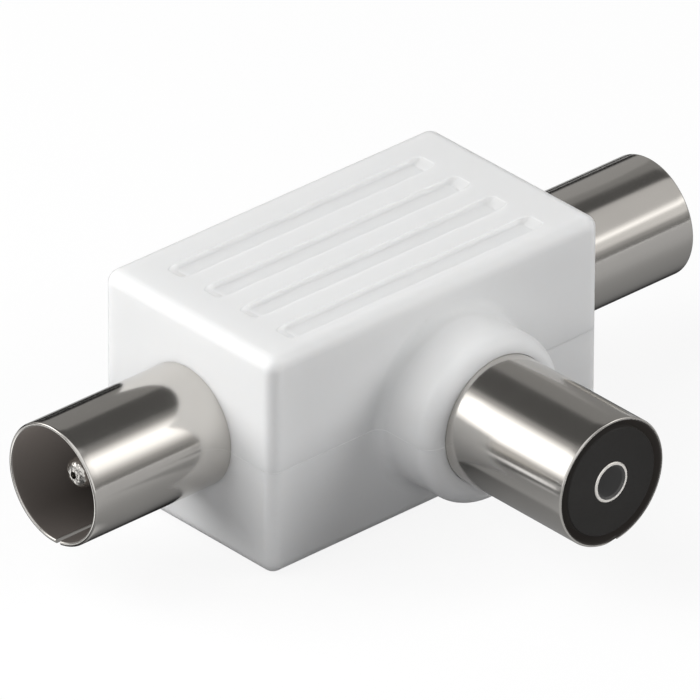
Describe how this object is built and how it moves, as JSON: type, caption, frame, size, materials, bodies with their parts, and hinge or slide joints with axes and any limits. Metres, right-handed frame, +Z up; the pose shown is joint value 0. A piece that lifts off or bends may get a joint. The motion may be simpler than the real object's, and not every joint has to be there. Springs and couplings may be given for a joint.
{
  "type": "coaxial splitter",
  "caption": "T-shaped aerial splitter: a white moulded housing with a coaxial plug at each end and a coaxial socket on a round boss at the side.",
  "frame": {"origin": "on the flat base, straight below the point where the connectors' axes cross", "axes": "+X along the end plug, away from the other plug; -Y along the side socket; +Z up, through the face with the grip grooves"},
  "size_m": [0.0585, 0.0357, 0.0179],
  "materials": {
    "housing": "smooth white moulding, semi-gloss",
    "nickel": "nickel-plated sheet, polished",
    "insulator": "black moulding, satin",
    "tinned_strip": "tin-plated strip",
    "board": "bare paper laminate, matt",
    "ferrite": "sintered ferrite, matt",
    "copper_wire": "enamelled copper, glossy",
    "resistor_ceramic": "lacquered, semi-gloss",
    "capacitor_ceramic": "waxed ceramic, semi-gloss",
    "solder": "solder, bright"
  },
  "bodies": {
    "root": {"housing_top": "housing", "housing_bottom": "housing", "ground_frame": "tinned_strip", "plug_sleeve": "nickel", "plug_insulator": "insulator", "plug_pin": "nickel", "side_socket_sleeve": "nickel", "side_socket_insulator": "insulator", "side_socket_contact": "nickel", "end_plug_sleeve": "nickel", "end_plug_insulator": "insulator", "end_plug_pin": "nickel", "circuit_board": "board", "matching_core": "ferrite", "matching_wire_inner": "copper_wire", "matching_wire_outer": "copper_wire", "splitter_core": "ferrite", "splitter_wire_inner": "copper_wire", "splitter_wire_outer": "copper_wire", "isolation_resistor": "resistor_ceramic", "tuning_capacitor": "capacitor_ceramic", "solder_joints": "solder"}
  },
  "joints": []
}
